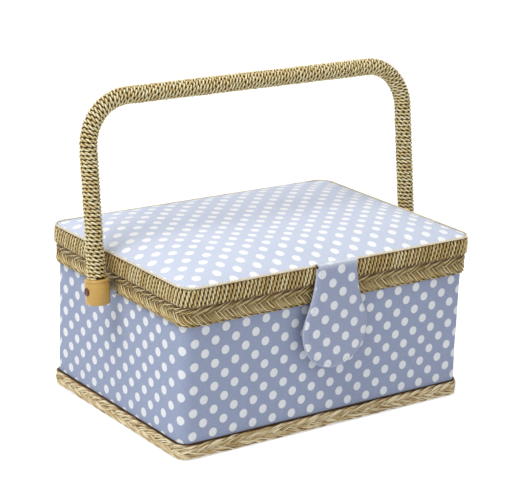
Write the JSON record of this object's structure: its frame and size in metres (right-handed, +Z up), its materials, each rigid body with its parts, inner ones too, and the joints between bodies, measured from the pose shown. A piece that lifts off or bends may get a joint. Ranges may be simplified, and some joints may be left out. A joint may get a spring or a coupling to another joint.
{
  "type": "sewing box",
  "caption": "Fabric-covered sewing box with straw braid trim, one padded hinged lid, a magnetic front flap and a cord-wrapped swinging carrying handle.",
  "frame": {"origin": "middle of the sheet under the box, on the surface it stands on", "axes": "+X right along the front seen from the front, +Y from the flap side to the hinge side, +Z up"},
  "size_m": [0.3636, 0.2339, 0.2902],
  "materials": {
    "board": "raw fibreboard",
    "dotted_fabric": "matt woven cotton, blue with white dots",
    "lining_fabric": "plain woven lining",
    "foam": "soft open foam",
    "straw": "braided and twisted straw-coloured paper cord",
    "piping_cord": "twisted pale cord",
    "brass_plate": "brass-plated steel",
    "steel": "bright zinc-plated steel",
    "cap_plastic": "tan moulded plastic",
    "screw_paint": "brown painted screw"
  },
  "bodies": {
    "box": {"bottom_sheet": "board", "base_board": "board", "front_panel": "board", "back_panel": "board", "left_panel": "board", "right_panel": "board", "corner_posts": "board", "outer_cover": "dotted_fabric", "wall_lining": "lining_fabric", "floor_pad": "lining_fabric", "base_braid": "straw", "rim_braid": "straw", "body_magnet": "steel", "pivot_screws": "screw_paint", "pivot_spacers": "steel", "pivot_washers": "steel", "pivot_nuts": "steel", "hinge_body_leaves": "brass_plate", "hinge_pins": "steel", "hinge_body_screws": "brass_plate"},
    "lid": {"lid_board": "board", "lid_hoop": "board", "lid_winding": "straw", "lid_piping": "piping_cord", "lid_foam": "foam", "lid_cover": "dotted_fabric", "lid_lining": "lining_fabric", "hinge_lid_leaves": "brass_plate", "hinge_lid_screws": "brass_plate", "flap_anchor": "dotted_fabric"},
    "flap": {"flap_front": "dotted_fabric", "flap_stiffener": "board", "flap_back": "dotted_fabric", "flap_magnet": "steel"},
    "handle": {"handle_core": "steel", "handle_wrap": "straw", "left_end_cap": "cap_plastic", "right_end_cap": "cap_plastic"}
  },
  "joints": [
    {"name": "lid_hinge", "type": "hinge", "parent": "box", "child": "lid", "pos_m": [0, 0.114, 0.1332], "axis": [-1, 0, 0], "range_deg": [0, 45]},
    {"name": "flap_fold", "type": "hinge", "parent": "lid", "child": "flap", "pos_m": [-0.003, -0.1129, 0.1511], "axis": [-1, 0, 0], "range_deg": [0, 150]},
    {"name": "handle_pivot", "type": "hinge", "parent": "box", "child": "handle", "pos_m": [0, 0, 0.122], "axis": [-1, 0, 0], "range_deg": [-120, 105]}
  ]
}
